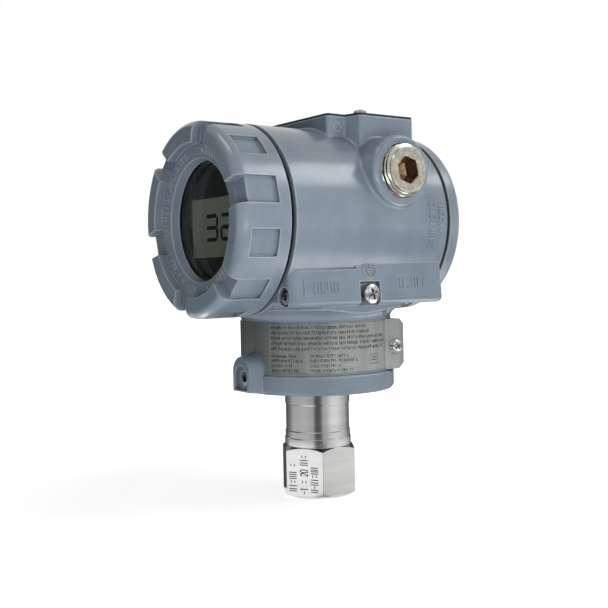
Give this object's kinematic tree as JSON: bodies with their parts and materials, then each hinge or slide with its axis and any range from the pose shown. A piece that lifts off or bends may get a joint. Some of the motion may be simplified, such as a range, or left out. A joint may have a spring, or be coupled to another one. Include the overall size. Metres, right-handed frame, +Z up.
{
  "type": "pressure transmitter",
  "caption": "Field pressure transmitter: blue-grey two-compartment housing with windowed display, plugged and open cable entries, steel hexagon process connection below.",
  "frame": {"origin": "centre of the bottom face of the hexagon, on the axis of the process connection", "axes": "+Z up along the process connection, Y along the housing barrel with the display facing -Y, plugged cable entry facing +X"},
  "size_m": [0.0886, 0.1182, 0.1666],
  "materials": {
    "turned_steel": "turned, fine machining lines",
    "gold_pins": "bright",
    "black_rubber": "matt",
    "grey_plastic": "matt",
    "painted_casting": "aluminium casting with satin blue-grey powder coat",
    "screw_steel": "bright",
    "plate_steel": "brushed",
    "plated_plug": "yellow zinc plate",
    "black_plastic": "satin",
    "circuit_board": "satin solder mask",
    "brass_parts": "nickel plated",
    "display_glass": "grey green reflective panel",
    "dark_plate": "black anodised",
    "window_glass": "clear"
  },
  "bodies": {
    "sensor": {"process_connection": "turned_steel", "sensor_body": "turned_steel", "isolating_diaphragm": "turned_steel", "sensor_cell": "turned_steel", "header_pins": "gold_pins", "neck_seal": "black_rubber", "sensor_lead": "grey_plastic"},
    "housing": {"housing": "painted_casting", "neck_lock_screw": "screw_steel", "front_lock_screw": "screw_steel", "rear_lock_screw": "screw_steel", "earth_screw": "screw_steel", "earth_spring_washer": "screw_steel", "earth_clamp": "screw_steel", "nameplate": "plate_steel", "nameplate_screws": "screw_steel", "entry_plug": "plated_plug", "feed_through": "black_plastic", "electronics_case": "black_plastic", "main_board": "circuit_board", "display_board": "circuit_board", "board_connector": "grey_plastic", "standoffs": "brass_parts", "case_screws": "screw_steel", "display_bezel": "black_plastic", "lcd_panel": "display_glass", "display_screws": "screw_steel", "terminal_block": "black_plastic", "terminal_clamps": "brass_parts", "terminal_screws": "screw_steel", "inner_earth_screw": "screw_steel", "inner_earth_washer": "brass_parts", "key_gasket": "black_rubber", "key_cover_screw": "screw_steel", "button_springs": "screw_steel"},
    "front_seal": {"front_o_ring": "black_rubber"},
    "display_cover": {"display_cover": "painted_casting", "window_glass": "window_glass", "window_gasket": "black_rubber", "window_retainer": "plate_steel"},
    "rear_seal": {"rear_o_ring": "black_rubber"},
    "rear_cover": {"rear_cover": "painted_casting"},
    "key_cover": {"key_cover": "dark_plate"},
    "zero_button": {"zero_button": "grey_plastic"},
    "span_button": {"span_button": "grey_plastic"}
  },
  "joints": [
    {"name": "housing_turn", "type": "hinge", "parent": "sensor", "child": "housing", "pos_m": [0, 0, 0.055], "axis": [0, 0, 1], "range_deg": [-180, 180]},
    {"name": "display_cover_travel", "type": "slide", "parent": "housing", "child": "front_seal", "axis": [0, -1, 0], "range_m": [0, 0.01141]},
    {"name": "display_cover_turn", "type": "hinge", "parent": "front_seal", "child": "display_cover", "pos_m": [0, -0.039, 0.1195], "axis": [0, -1, 0], "range_deg": [0, 2052]},
    {"name": "rear_cover_travel", "type": "slide", "parent": "housing", "child": "rear_seal", "axis": [0, 1, 0], "range_m": [0, 0.01101]},
    {"name": "rear_cover_turn", "type": "hinge", "parent": "rear_seal", "child": "rear_cover", "pos_m": [0, 0.045, 0.1195], "axis": [0, 1, 0], "range_deg": [0, 1980]},
    {"name": "key_cover_swing", "type": "hinge", "parent": "housing", "child": "key_cover", "pos_m": [0.0213, 0.01, 0.1654], "axis": [0, 0, 1], "range_deg": [-130, 0]},
    {"name": "zero_press", "type": "slide", "parent": "housing", "child": "zero_button", "axis": [0, 0, -1], "range_m": [0, 0.0015], "stiffness_N_per_m": 400, "springref_m": -0.0005},
    {"name": "span_press", "type": "slide", "parent": "housing", "child": "span_button", "axis": [0, 0, -1], "range_m": [0, 0.0015], "stiffness_N_per_m": 400, "springref_m": -0.0005}
  ],
  "couplings": [
    {"joint": "display_cover_travel", "follows": "display_cover_turn", "m_per_rad": 0.00031831},
    {"joint": "rear_cover_travel", "follows": "rear_cover_turn", "m_per_rad": 0.00031831}
  ]
}
